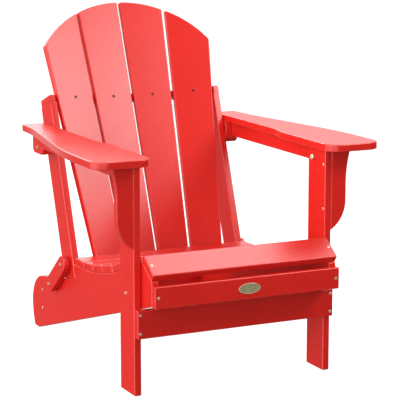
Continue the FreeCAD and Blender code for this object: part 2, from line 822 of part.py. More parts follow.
def cross_edge(along, end):
    """The faceted front edge of a cross board, as (across, behind) points right of the middle.

    The facets lie on the rear faces of the slats at a distance along the back, and the last one
    runs out to end.
    """
    swing = math.radians(CELLS["slat_lean"] - CELLS["lean"])
    recess = CELLS["slat_recess"] + along * math.tan(swing)

    def rear_face(kind, across):
        turn, middle, forward = [size.value for size in slat_plane(kind)]
        fall = (across - middle) * math.tan(math.radians(turn))
        depth = recess - forward - fall
        return depth + CELLS["board"] / math.cos(math.radians(turn)) / math.cos(swing)

    gap = (slat_edge(1, size_of(along)) + slat_edge(2, size_of(along))).value / 2
    points = [(0.0, rear_face("inner", 0.0)), (gap, rear_face("inner", gap))]
    points = points + [(gap + FACET_STEP, rear_face("outer", gap)), (end, rear_face("outer", end))]
    return [(across, behind + CELLS["seat_fit"]) for across, behind in points]


def cross_board(name, along, half, ends):
    """A board square to the uprights, hollowed in front to carry the slats."""
    reach = rail_in.value + (CELLS["top_board_notch"] if ends else -CELLS["low_board_room"])
    heights = (along, along + CELLS["board"])
    edge = max((cross_edge(place, reach) for place in heights), key=lambda points: points[0][1])
    outline = [((size_of(-half), cell("cross_depth")),)]
    left = [(-across, behind) for across, behind in reversed(edge)]
    right = edge[1:]
    if ends:
        left = [(-half, 0.0), (left[0][0], 0.0)] + left
        right = right + [(right[-1][0], 0.0), (half, 0.0)]
    else:
        left = [(-half, left[0][1])] + left[1:]
        right = right[:-1] + [(half, right[-1][1])]
    for across, behind in left + right:
        outline.append(((size_of(across), size_of(behind)),))
    outline.append(((size_of(half), cell("cross_depth")),))
    outline.reverse()
    place = back_point(size_of(along), zero)
    turn = FreeCAD.Rotation(RIGHT, -CELLS["lean"])
    make_board(name, "XY_Plane", outline, (zero, place[0], place[1]), turn=turn)


def make_uprights():
    """Two leaning uprights that stand on the rails' ledges."""
    width = cell("upright_width")
    top = cell("upright_top")
    lift = cell("turn_room")
    outline = [
        (back_point(along_at_ledge(zero, lift), zero),),
        (back_point(along_at_ledge(width, lift), width),),
        (back_point(top, width),),
        (back_point(top, zero),),
    ]
    holes = [(back_pivot, cell("bolt_radius")), (rear_arm_pivot, cell("bolt_radius"))]
    for label, side in SIDES.items():
        make_board("upright_" + label, "YZ_Plane", outline, side_shift(side, rail_in), holes)


def make_back():
    """The whole back: uprights, slats, cross boards, screws, bolts and nuts."""
    make_uprights()
    slat_screws, slats = make_back_slats()
    cross_board("back_top_board", CELLS["upright_top"], rail_out.value, True)
    low_half = rail_in.value - CELLS["low_board_room"]
    cross_board("back_low_board", CELLS["low_board_base"], low_half, False)
    for name in slats + ["back_top_board", "back_low_board"]:
        drill(name, slat_screws)
    lean_turn = FreeCAD.Rotation(RIGHT, -CELLS["lean"])
    down = lean_turn.multVec(UP) * -1
    screws = []
    for side in SIDES.values():
        for behind in UPRIGHT_SCREW_DEPTHS:
            place = back_point(cell("upright_top") + board, size_of(behind))
            screws.append(screw_solid(point_at((rail_in + board / 2) * side, place[0], place[1]), down))
        place = back_point(cell("low_board_base") + board / 2, size_of(LOW_BOARD_SCREW_DEPTH))
        screws.append(screw_solid(point_at(rail_out * side, place[0], place[1]), RIGHT * -side))
    group = make_group("back_board_screws", screws)
    for name in ("upright_left", "upright_right", "back_top_board", "back_low_board"):
        drill(name, group)
    bolts = []
    nuts = []
    arm_nuts = []
    for side in SIDES.values():
        inward = RIGHT * -side
        head = point_at(link_head * side, back_pivot[0], back_pivot[1])
        length = link_head - rail_in + cell("nut_high")
        bolts.append(bolt_solid(head, inward, length.value))
        nuts.append(nut_solid(point_at(rail_in * side, back_pivot[0], back_pivot[1]), inward))
        stud_start = point_at(rail_out * side, rear_arm_pivot[0], rear_arm_pivot[1])
        stud = Part.makeCylinder(CELLS["bolt_radius"], board.value, stud_start, inward)
        nut = nut_solid(point_at(rail_in * side, rear_arm_pivot[0], rear_arm_pivot[1]), inward, True)
        arm_nuts.append(stud.fuse(nut).removeSplitter())
    make_group("back_link_bolts", bolts)
    make_group("back_link_nuts", nuts)
    make_group("back_arm_nuts", arm_nuts)


make_rails()
make_seat()
make_front_apron()
make_rear_stretcher()
make_ledge_bolts()
make_legs()
make_leg_apron()
make_brackets()
make_leg_bolts()
make_arms()
make_links()
make_back()
doc.recompute()

# ---- checks and export ---------------------------------------------------------------------

for item in doc.Objects:
    if "Invalid" in item.State or "Error" in item.State:
        raise RuntimeError(item.Label + " failed: " + str(item.State))
for name, piece in nodes.items():
    if piece.Shape.isNull() or not piece.Shape.isValid():
        raise RuntimeError(name + " has no valid shape")

os.makedirs("parts", exist_ok=True)
for name, piece in nodes.items():
    piece.Shape.exportStep("parts/" + name + ".step")
    print(name, len(piece.Shape.Solids), round(piece.Shape.Volume))
print("nodes", len(nodes))
for label, pivot in (("leg", leg_pivot), ("arm", arm_pivot), ("back", back_pivot),
                     ("rear_arm", rear_arm_pivot), ("ledge", ledge_pivot)):
    print(label, "pivot", round(pivot[0].value + centre_shift.value, 3), round(pivot[1].value, 3))
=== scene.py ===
"""A folding garden chair of solid plastic boards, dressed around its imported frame.

Every board is cut again along the outline that the frame gives it and gets the eased edges of a
routed plank. Screws, bolts and lock nuts get their real heads. All lengths are in metres.
"""

import logging
import math
from dataclasses import dataclass, field
from enum import Enum
from typing import Dict, List, Sequence, Tuple

import bmesh
import bpy
from mathutils import Matrix, Vector


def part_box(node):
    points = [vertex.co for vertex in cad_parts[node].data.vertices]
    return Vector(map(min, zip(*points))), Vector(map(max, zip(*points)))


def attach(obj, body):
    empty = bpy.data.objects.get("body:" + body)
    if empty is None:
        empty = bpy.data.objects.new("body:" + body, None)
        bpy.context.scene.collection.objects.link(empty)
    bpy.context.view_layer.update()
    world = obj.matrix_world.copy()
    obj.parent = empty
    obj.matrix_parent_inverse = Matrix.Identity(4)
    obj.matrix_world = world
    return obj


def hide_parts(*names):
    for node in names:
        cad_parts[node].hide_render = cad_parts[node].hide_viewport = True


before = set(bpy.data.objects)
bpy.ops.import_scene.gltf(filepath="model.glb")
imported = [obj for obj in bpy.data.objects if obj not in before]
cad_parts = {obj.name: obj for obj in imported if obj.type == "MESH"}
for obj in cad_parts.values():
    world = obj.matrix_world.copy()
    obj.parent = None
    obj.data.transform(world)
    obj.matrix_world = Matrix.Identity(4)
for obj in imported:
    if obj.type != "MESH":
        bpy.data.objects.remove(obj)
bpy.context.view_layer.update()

logging.basicConfig(level=logging.INFO, format="%(message)s")
log = logging.getLogger("chair")

MM = 0.001
MASK = "finish_mask"
BOARD_MAP = "board_map"
SIDES = ("left", "right")
# the rings of a turned head that lie in the shadow of its hole's rim
RIM_RINGS = (1, 2, 3)
WHITE = (1.0, 1.0, 1.0, 1.0)
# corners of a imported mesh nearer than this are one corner
SAME_CORNER = 0.01 * MM
# face normals are told apart to one part in this many
NORMAL_STEPS = 50
# a face whose normal's cosine with the broad face's is above this lies flat with it
FLAT_COSINE = 0.999
FLAT_DEPTH = 0.05 * MM
SHORTEST_RUN = 0.3 * MM
STRAIGHT_DEGREES = 0.3
SHARP_DEGREES = 25.0
# the weight, in percent, that big faces have in a piece's normals
BIG_FACE_WEIGHT = 80
# how far each board's texture is moved along and across, for a full share of tint
TINT_SHIFT = (3.0, 0.7)

Colour = Tuple[float, float, float]


class Slot(Enum):
    """The material slots of the record."""

    LUMBER = "lumber"
    STEEL = "steel"
    DARK_SCREW = "dark_screw"
    NYLON = "nylon"
    BADGE = "badge"


class Drive(Enum):
    """The recess in a fastener's head, as its number of corners."""

    SQUARE = 4
    HEX = 6


# ---- finishes ------------------------------------------------------------------------------


class NodeSheet:
    """A material's node tree with short ways to add and join nodes."""

    def __init__(self, name: str) -> None:
        """Start an empty principled material.

        Args:
            name: The material's name.
        """
        self.material = bpy.data.materials.new(name)
        self.material.use_nodes = True
        self.tree = self.material.node_tree
        self.shader = self.tree.nodes["Principled BSDF"]

    def add(self, kind: str, **settings: object) -> bpy.types.Node:
        """Add a node.

        Args:
            kind: The node's type name.
            settings: Attributes to set on it.

        Returns:
            The new node.
        """
        node = self.tree.nodes.new(kind)
        for key, value in settings.items():
            setattr(node, key, value)
        return node

    def join(self, out: bpy.types.NodeSocket, into: bpy.types.NodeSocket) -> None:
        """Link an output to an input."""
        self.tree.links.new(out, into)

    def noise(
        self, vector: bpy.types.NodeSocket, scale: float, detail: float = 3.0, rough: float = 0.55
    ) -> bpy.types.NodeSocket:
        """Add a noise pattern.

        Args:
            vector: The coordinates that it reads.
            scale: Features per metre.
            detail: Its layers of finer noise.
            rough: How strong the finer layers are.

        Returns:
            The noise value's socket.
        """
        node = self.add("ShaderNodeTexNoise")
        node.inputs["Scale"].default_value = scale
        node.inputs["Detail"].default_value = detail
        node.inputs["Roughness"].default_value = rough
        self.join(vector, node.inputs["Vector"])
        return node.outputs["Fac"]

    def stretched(
        self, vector: bpy.types.NodeSocket, scale: Tuple[float, float, float]
    ) -> bpy.types.NodeSocket:
        """Scale coordinates by a different amount each way.

        Args:
            vector: The coordinates.
            scale: The three factors.

        Returns:
            The scaled coordinates' socket.
        """
        node = self.add("ShaderNodeMapping")
        node.inputs["Scale"].default_value = scale
        self.join(vector, node.inputs["Vector"])
        return node.outputs["Vector"]

    def remap(
        self, value: bpy.types.NodeSocket, low: float, high: float, start: float, end: float
    ) -> bpy.types.NodeSocket:
        """Map a value's range from low..high to start..end, clamped.

        Args:
            value: The value's socket.
            low: The value that gives start.
            high: The value that gives end.
            start: The result at low.
            end: The result at high.

        Returns:
            The result's socket.
        """
        node = self.add("ShaderNodeMapRange")
        ends = {"From Min": low, "From Max": high, "To Min": start, "To Max": end}
        for key, number in ends.items():
            node.inputs[key].default_value = number
        self.join(value, node.inputs["Value"])
        return node.outputs["Result"]

    def blend(
        self,
        share: bpy.types.NodeSocket,
        first: object,
        second: object,
    ) -> bpy.types.NodeSocket:
        """Mix two colours.

        Args:
            share: How much of the second shows.
            first: A colour or a socket.
            second: A colour or a socket.

        Returns:
            The mixed colour's socket.
        """
        node = self.add("ShaderNodeMix", data_type="RGBA", blend_type="MIX")
        self.join(share, node.inputs["Factor"])
        for socket, colour in ((node.inputs[6], first), (node.inputs[7], second)):
            if isinstance(colour, tuple):
                socket.default_value = (*colour, 1.0)
            else:
                self.join(colour, socket)
        return node.outputs[2]

    def product(
        self, first: bpy.types.NodeSocket, second: bpy.types.NodeSocket
    ) -> bpy.types.NodeSocket:
        """Multiply two values and return the product's socket."""
        node = self.add("ShaderNodeMath", operation="MULTIPLY")
        self.join(first, node.inputs[0])
        self.join(second, node.inputs[1])
        return node.outputs[0]

    def bump(self, layers: Sequence[Tuple[bpy.types.NodeSocket, float]]) -> None:
        """Lay height patterns on the surface, one after another.

        Args:
            layers: Each pattern's socket with its depth in metres.
        """
        below = None
        for height, depth in layers:
            node = self.add("ShaderNodeBump")
            node.inputs["Strength"].default_value = 1.0
            node.inputs["Distance"].default_value = depth
            self.join(height, node.inputs["Height"])
            if below is not None:
                self.join(below, node.inputs["Normal"])
            below = node.outputs["Normal"]
        if below is not None:
            self.join(below, self.shader.inputs["Normal"])


@dataclass(frozen=True)
class LumberFinish:
    """Solid dyed plastic lumber: pebbled skin with painted glints on the pebble tops, faint drawn
    streaks and edges scuffed paler.
    """

    colour: Colour = (0.79, 0.0175, 0.0095)
    deep: Colour = (0.68, 0.0105, 0.0065)
    scuffed: Colour = (0.90, 0.060, 0.050)
    # painted highlight: the paler red laid on the pebble tops stands in for their glints
    pebble_glint: Colour = (0.84, 0.045, 0.040)
    roughness: Tuple[float, float] = (0.26, 0.34)
    pebbles_per_metre: float = 420.0
    pebble_depth: float = 0.00016
    streak_depth: float = 0.00004
    clouds_per_metre: float = 9.0
    rubs_per_metre: float = 60.0
    glints_per_metre: float = 420.0
    streak_stretch: Tuple[float, float, float] = (5.0, 240.0, 1.0)
    scratch_stretch: Tuple[float, float, float] = (14.0, 900.0, 1.0)
    specular: float = 0.65

    def material(self) -> bpy.types.Material:
        """Build the lumber's material."""
        sheet = NodeSheet("red_lumber")
        place = sheet.add("ShaderNodeTexCoord").outputs["Object"]
        along = sheet.add("ShaderNodeUVMap", uv_map=BOARD_MAP).outputs["UV"]
        mask = sheet.add("ShaderNodeAttribute", attribute_name=MASK)
        parts = sheet.add("ShaderNodeSeparateColor")
        sheet.join(mask.outputs["Color"], parts.inputs["Color"])
        worn, tint = parts.outputs["Red"], parts.outputs["Green"]

        cloud = sheet.noise(place, self.clouds_per_metre, 4.0)
        streak = sheet.noise(sheet.stretched(along, self.streak_stretch), 1.0, 4.0, 0.6)
        grain = sheet.noise(place, self.pebbles_per_metre, 2.0, 0.5)
        scratch = sheet.noise(sheet.stretched(along, self.scratch_stretch), 1.0, 2.0, 0.5)

        colour = sheet.blend(sheet.remap(cloud, 0.35, 0.7, 0.0, 0.30), self.colour, self.deep)
        colour = sheet.blend(sheet.remap(tint, 0.0, 1.0, 0.0, 0.45), colour, self.deep)
        colour = sheet.blend(sheet.remap(streak, 0.42, 0.72, 0.0, 0.35), colour, self.deep)
        # painted glints: the pebble tops get the paler red
        colour = sheet.blend(sheet.remap(grain, 0.60, 0.76, 0.0, 0.5), colour, self.pebble_glint)
        patches = sheet.noise(place, self.rubs_per_metre, 4.0)
        rub = sheet.product(worn, sheet.remap(patches, 0.40, 0.62, 0.25, 0.85))
        colour = sheet.blend(rub, colour, self.scuffed)
        sheet.join(colour, sheet.shader.inputs["Base Color"])

        low, high = self.roughness
        gloss = sheet.remap(sheet.noise(place, self.glints_per_metre, 3.0), 0.3, 0.7, low, high)
        sheet.join(gloss, sheet.shader.inputs["Roughness"])
        sheet.shader.inputs["Specular IOR Level"].default_value = self.specular
        sheet.bump(
            [
                (grain, self.pebble_depth),
                (streak, self.streak_depth),
                (scratch, self.streak_depth * 0.5),
            ]
        )
        return sheet.material


@dataclass(frozen=True)
class SteelFinish:
    """Stainless steel of small fasteners: satin, with turning marks and dull spots."""

    name: str = "satin_steel"
    colour: Colour = (0.88, 0.78, 0.58)
    dull: Colour = (0.62, 0.50, 0.36)
    # painted shade: the near-black, non-metal colour of the head's rings that lie in the shadow of
    # the hole's rim
    ring: Colour = (0.045, 0.006, 0.005)
    metallic: float = 0.6
    roughness: Tuple[float, float] = (0.34, 0.52)
    mark_depth: float = 0.00003
    marks_per_metre: float = 1400.0
    spots_per_metre: float = 420.0

    def material(self) -> bpy.types.Material:
        """Build the steel's material."""
        sheet = NodeSheet(self.name)
        place = sheet.add("ShaderNodeTexCoord").outputs["Object"]
        marks = sheet.noise(place, self.marks_per_metre, 3.0)
        spots = sheet.noise(place, self.spots_per_metre, 4.0)
        mask = sheet.add("ShaderNodeAttribute", attribute_name=MASK)
        parts = sheet.add("ShaderNodeSeparateColor")
        sheet.join(mask.outputs["Color"], parts.inputs["Color"])
        shadow = parts.outputs["Red"]
        colour = sheet.blend(sheet.remap(spots, 0.45, 0.7, 0.0, 0.8), self.colour, self.dull)
        colour = sheet.blend(shadow, colour, self.ring)
        sheet.join(colour, sheet.shader.inputs["Base Color"])
        metal = sheet.remap(shadow, 0.0, 1.0, self.metallic, 0.0)
        sheet.join(metal, sheet.shader.inputs["Metallic"])
        low, high = self.roughness
        sheet.join(sheet.remap(spots, 0.3, 0.7, low, high), sheet.shader.inputs["Roughness"])
        sheet.bump([(marks, self.mark_depth)])
        return sheet.material


@dataclass(frozen=True)
class NylonFinish:
    """Black nylon of washers: faint mottling and moulding grain."""

    colour: Colour = (0.018, 0.017, 0.017)
    pale: Colour = (0.050, 0.047, 0.045)
    roughness: Tuple[float, float] = (0.42, 0.60)
    mottles_per_metre: float = 300.0
    grains_per_metre: float = 1800.0
    grain_depth: float = 0.00004

    def material(self) -> bpy.types.Material:
        """Build the nylon's material."""
        sheet = NodeSheet("black_nylon")
        place = sheet.add("ShaderNodeTexCoord").outputs["Object"]
        mottle = sheet.noise(place, self.mottles_per_metre, 4.0)
        grain = sheet.noise(place, self.grains_per_metre, 2.0)
        colour = sheet.blend(sheet.remap(mottle, 0.4, 0.7, 0.0, 1.0), self.colour, self.pale)
        sheet.join(colour, sheet.shader.inputs["Base Color"])
        low, high = self.roughness
        sheet.join(sheet.remap(mottle, 0.3, 0.7, low, high), sheet.shader.inputs["Roughness"])
        sheet.bump([(grain, self.grain_depth)])
        return sheet.material


@dataclass(frozen=True)
class EnamelFinish:
    """The oval plate's enamel: a pale olive field with a darker middle and a rubbed rim."""

    field_colour: Colour = (0.50, 0.46, 0.25)
    shade: Colour = (0.27, 0.25, 0.12)
    rim: Colour = (0.74, 0.66, 0.42)
    # painted shade: the dark band just inside the rim stands for the shade of a groove
    line: Colour = (0.030, 0.024, 0.012)
    roughness: Tuple[float, float] = (0.28, 0.45)
    metallic: float = 0.25
    mottles_per_metre: float = 500.0
    grains_per_metre: float = 2200.0
    grain_depth: float = 0.00003

    def material(self) -> bpy.types.Material:
        """Build the enamel's material."""
        sheet = NodeSheet("olive_enamel")
        place = sheet.add("ShaderNodeTexCoord").outputs["Object"]
        mask = sheet.add("ShaderNodeAttribute", attribute_name=MASK)
        parts = sheet.add("ShaderNodeSeparateColor")
        sheet.join(mask.outputs["Color"], parts.inputs["Color"])
        mottle = sheet.noise(place, self.mottles_per_metre, 4.0)
        grain = sheet.noise(place, self.grains_per_metre, 2.0)
        colour = sheet.blend(
            sheet.remap(mottle, 0.4, 0.65, 0.0, 0.8), self.field_colour, self.shade
        )
        colour = sheet.blend(parts.outputs["Red"], colour, self.rim)
        colour = sheet.blend(parts.outputs["Green"], colour, self.line)
        sheet.join(colour, sheet.shader.inputs["Base Color"])
        low, high = self.roughness
        sheet.join(sheet.remap(mottle, 0.3, 0.7, low, high), sheet.shader.inputs["Roughness"])
        sheet.shader.inputs["Metallic"].default_value = self.metallic
        sheet.bump([(grain, self.grain_depth)])
        return sheet.material


@dataclass(frozen=True)
class FloorFinish:
    """The plain pale floor."""

    colour: Colour = (0.30, 0.30, 0.30)
    shade: Colour = (0.28, 0.28, 0.28)
    glow: float = 0.95
    roughness: float = 0.9
    specular: float = 0.1

    def material(self) -> bpy.types.Material:
        """Build the floor's material."""
        sheet = NodeSheet("pale_floor")
        place = sheet.add("ShaderNodeTexCoord").outputs["Object"]
        cloud = sheet.noise(place, 1.5, 2.0)
        colour = sheet.blend(sheet.remap(cloud, 0.3, 0.7, 0.0, 1.0), self.colour, self.shade)
        sheet.join(colour, sheet.shader.inputs["Base Color"])
        sheet.shader.inputs["Emission Color"].default_value = WHITE
        sheet.shader.inputs["Emission Strength"].default_value = self.glow
        sheet.shader.inputs["Roughness"].default_value = self.roughness
        sheet.shader.inputs["Specular IOR Level"].default_value = self.specular
        return sheet.material


class Workshop:
    """The finishes, made once, and the ways a piece joins the chair."""

    def __init__(self) -> None:
        """Make every material."""
        self.materials: Dict[Slot, bpy.types.Material] = {
            Slot.LUMBER: LumberFinish().material(),
            Slot.STEEL: SteelFinish().material(),
            # painted shade: the back slat screws get a dark red colour for the shade of the
            # recesses they sit in
            Slot.DARK_SCREW: SteelFinish(
                "recess_shaded_screw", (0.055, 0.010, 0.010), (0.020, 0.006, 0.006),
                metallic=0.0, roughness=(0.45, 0.65)
            ).material(),
            Slot.NYLON: NylonFinish().material(),
            Slot.BADGE: EnamelFinish().material(),
        }

    def piece(
        self, name: str, mesh: bpy.types.Mesh, body: str, slot: Slot, nodes: Sequence[str]
    ) -> bpy.types.Object:
        """Put a mesh on a body in the place of its CAD nodes.

        Args:
            name: The piece's name.
            mesh: Its mesh, in the row frame.
            body: The body it rides on.
            slot: Its finish.
            nodes: The CAD nodes that it stands for.

        Returns:
            The new object.
        """
        thing = bpy.data.objects.new(name, mesh)
        bpy.context.scene.collection.objects.link(thing)
        mesh.materials.append(self.materials[slot])
        mesh.shade_smooth()
        even = thing.modifiers.new("even_normals", "WEIGHTED_NORMAL")
        even.weight = BIG_FACE_WEIGHT
        even.keep_sharp = True
        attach(thing, body)
        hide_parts(*nodes)
        log.info("%s on %s, %d faces", name, body, len(mesh.polygons))
        return thing

    def dress(self, node: str, slot: Slot) -> None:
        """Give a CAD node that keeps its own shape its finish.

        Args:
            node: The node's name.
            slot: Its finish.
        """
        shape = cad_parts[node]
        shape.data.materials.clear()
        shape.data.materials.append(self.materials[slot])
        log.info("%s keeps its shape", node)


# ---- boards --------------------------------------------------------------------------------


class Outline:
    """A board's flat outline and thickness, read from its CAD node."""

    def __init__(self, node: str) -> None:
        """Find the board's broad face and the loop around it.

        Args:
            node: The CAD node's name.
        """
        work = bmesh.new()
        work.from_mesh(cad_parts[node].data)
        bmesh.ops.remove_doubles(work, verts=work.verts, dist=SAME_CORNER)
        work.normal_update()
        areas: Dict[Tuple[int, int, int], float] = {}
        normals: Dict[Tuple[int, int, int], Vector] = {}
        for face in work.faces:
            key = tuple(round(part * NORMAL_STEPS) for part in face.normal)
            areas[key] = areas.get(key, 0.0) + face.calc_area()
            normals.setdefault(key, face.normal.copy())
        self.normal = normals[max(areas, key=lambda key: (round(areas[key], 7), key))]
        depths = [vertex.co.dot(self.normal) for vertex in work.verts]
        self.thick = max(depths) - min(depths)
        top = max(depths)
        broad = [
            face
            for face in work.faces
            if face.normal.dot(self.normal) > FLAT_COSINE
            and abs(face.calc_center_median().dot(self.normal) - top) < FLAT_DEPTH
        ]
        self.points = self.longest_loop(broad)
        work.free()

    @staticmethod
    def longest_loop(faces: Sequence[bmesh.types.BMFace]) -> List[Vector]:
        """Walk the borders of some faces and return the longest one.

        Args:
            faces: The faces of one flat side.

        Returns:
            The border's corners in order, without those that lie on a straight run.
        """
        inside = set(faces)
        following: Dict[bmesh.types.BMVert, bmesh.types.BMVert] = {}
        for face in faces:
            for loop in face.loops:
                if not any(other in inside for other in loop.edge.link_faces if other != face):
                    following[loop.vert] = loop.link_loop_next.vert
        best: List[Vector] = []
        best_length = 0.0
        while following:
            start = next(iter(following))
            walk = [start]
            vertex = following.pop(start)
            while vertex in following:
                walk.append(vertex)
                vertex = following.pop(vertex)
            places = [vertex.co.copy() for vertex in walk]
            length = sum((a - b).length for a, b in zip(places, places[1:] + places[:1]))
            if length > best_length:
                best, best_length = places, length
        pairs = zip(best, best[-1:] + best[:-1])
        apart = [here for here, before in pairs if (here - before).length > SHORTEST_RUN]
        bends = []
        for before, here, after in zip(apart[-1:] + apart[:-1], apart, apart[1:] + apart[:1]):
            if (here - before).angle(after - here) > math.radians(STRAIGHT_DEGREES):
                bends.append(here)
        return bends


@dataclass
class Board:
    """One plank with eased edges."""

    node: str
    body: str
    ease: float = 2.6 * MM
    rings: int = 3

    def mesh(self, tint: float) -> bpy.types.Mesh:
        """Cut the plank along its outline and ease its edges.

        Args:
            tint: How deep this plank's colour is, from 0 to 1.

        Returns:
            The plank's mesh.
        """
        outline = Outline(self.node)
        down = outline.normal * -outline.thick
        work = bmesh.new()
        top = [work.verts.new(place) for place in outline.points]
        low = [work.verts.new(place + down) for place in outline.points]
        work.faces.new(top)
        work.faces.new(list(reversed(low)))
        count = len(top)
        for number in range(count):
            after = (number + 1) % count
            work.faces.new((top[after], top[number], low[number], low[after]))
        bmesh.ops.recalc_face_normals(work, faces=work.faces)
        bluntest = math.radians(SHARP_DEGREES)
        sharp = [edge for edge in work.edges if edge.calc_face_angle(0.0) > bluntest]
        eased = bmesh.ops.bevel(
            work,
            geom=sharp,
            offset=self.ease,
            offset_type="OFFSET",
            segments=self.rings,
            profile=0.5,
            affect="EDGES",
            clamp_overlap=True,
        )
        self.paint(work, outline, set(eased["faces"]), tint)
        mesh = bpy.data.meshes.new(self.node + "_eased")
        work.to_mesh(mesh)
        work.free()
        return mesh

    @staticmethod
    def paint(
        work: bmesh.types.BMesh, outline: Outline, eased: set, tint: float
    ) -> None:
        """Mark the eased edges and lay the board's own map along its length.

        Args:
            work: The plank.
            outline: Its outline.
            eased: The faces of its eased edges.
            tint: How deep its colour is.
        """
        mask = work.loops.layers.float_color.new(MASK)
        lay = work.loops.layers.uv.new(BOARD_MAP)
        pairs = zip(outline.points, outline.points[1:] + outline.points[:1])
        along = max((b - a for a, b in pairs), key=lambda run: run.length).normalized()
        across = outline.normal.cross(along)
        for face in work.faces:
            for loop in face.loops:
                place = loop.vert.co
                side = place.dot(across) + place.dot(outline.normal)
                run = place.dot(along)
                loop[lay].uv = (run + tint * TINT_SHIFT[0], side + tint * TINT_SHIFT[1])
                loop[mask] = (1.0 if face in eased else 0.0, tint, 0.0, 1.0)

    def build(self, shop: Workshop, tint: float) -> bpy.types.Object:
        """Make the plank and put it in its place.

        Args:
            shop: The finishes.
            tint: How deep its colour is.

        Returns:
            The plank.
        """
        name = self.node + "_plank"
        return shop.piece(name, self.mesh(tint), self.body, Slot.LUMBER, [self.node])


# ---- fasteners -----------------------------------------------------------------------------


@dataclass(frozen=True)
class Spot:
    """Where a fastener is: its outer end, the direction into the board, and its length."""

    place: Vector
    inward: Vector
    length: float


class Fastening:
    """The separate fasteners of one CAD node."""

    def __init__(self, node: str) -> None:
        """Split the node into its solids.

        Args:
            node: The CAD node's name.
        """
        work = bmesh.new()
        work.from_mesh(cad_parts[node].data)
        bmesh.ops.remove_doubles(work, verts=work.verts, dist=SAME_CORNER)
        self.node = node
        self.solids: List[List[Vector]] = []
        waiting = set(work.verts)
        for seed in list(work.verts):
            if seed not in waiting:
                continue
            waiting.discard(seed)
            stack, solid = [seed], []
            while stack:
                vertex = stack.pop()
                solid.append(vertex.co.copy())
                for edge in vertex.link_edges:
                    other = edge.other_vert(vertex)
                    if other in waiting:
                        waiting.discard(other)
                        stack.append(other)
            self.solids.append(solid)
        work.free()

    @staticmethod
    def middle(places: Sequence[Vector]) -> Vector:
        """The middle of the box around some places."""
        low = Vector(min(place[axis] for place in places) for axis in range(3))
        high = Vector(max(place[axis] for place in places) for axis in range(3))
        return (low + high) / 2

    def along(self, solid: Sequence[Vector]) -> Spot:
        """Find a long fastener's head and direction.

        Args:
            solid: The fastener's corners.

        Returns:
            Where its head's outer end is.
        """
        first = max(solid, key=lambda place: (place - solid[0]).length)
        second = max(solid, key=lambda place: (place - first).length)
        rough = (second - first).normalized()
        for _ in range(3):
            reach = [place.dot(rough) for place in solid]
            low, high = min(reach), max(reach)
            slack = (high - low) * 0.012
            near = [place for place, far in zip(solid, reach) if far < low + slack]
            away = [place for place, far in zip(solid, reach) if far > high - slack]
            centre_low = sum(near, Vector()) / len(near)
            centre_high = sum(away, Vector()) / len(away)
            rough = (centre_high - centre_low).normalized()
        spread = [
            max((place - centre).length for place in ring)
            for ring, centre in ((near, centre_low), (away, centre_high))
        ]
        if spread[0] < spread[1]:
            return Spot(centre_high, -rough, high - low)
        return Spot(centre_low, rough, high - low)

    def spots(self) -> List[Spot]:
        """Where every fastener of the node is."""
        return [self.along(solid) for solid in self.solids]


def turned(profile: Sequence[Tuple[float, float]], sides: int, work: bmesh.types.BMesh,
           place: Matrix) -> List[List[bmesh.types.BMVert]]:
    """Turn a profile around the z axis and add it to a mesh.

    Args:
        profile: Radius and height of each ring, from one end to the other.
        sides: How many corners a ring has.
        work: The mesh to add to.
        place: Where the axis goes.

    Returns:
        The rings' vertices.
    """
    rings = []
    for radius, height in profile:
        ring = []
        for number in range(sides):
            angle = 2 * math.pi * number / sides
            spot = Vector((radius * math.cos(angle), radius * math.sin(angle), height))
            ring.append(work.verts.new(place @ spot))
        rings.append(ring)
    for lower, upper in zip(rings, rings[1:]):
        for number in range(sides):
            after = (number + 1) % sides
            work.faces.new((lower[number], lower[after], upper[after], upper[number]))
    return rings


def fan(work: bmesh.types.BMesh, outer: Sequence[bmesh.types.BMVert],
        inner: Sequence[bmesh.types.BMVert]) -> None:
    """Join a ring to a ring inside it that has fewer corners.

    Args:
        work: The mesh.
        outer: The outer ring.
        inner: The inner ring, whose corner count divides the outer's.
    """
    share = len(outer) // len(inner)
    for number, vertex in enumerate(inner):
        start = number * share
        after = inner[(number + 1) % len(inner)]
        arc = [outer[(start + step) % len(outer)] for step in range(share + 1)]
        half = share // 2
        for step in range(half):
            work.faces.new((arc[step], arc[step + 1], vertex))
        work.faces.new((arc[half], after, vertex))
        for step in range(half, share):
            work.faces.new((arc[step], arc[step + 1], after))


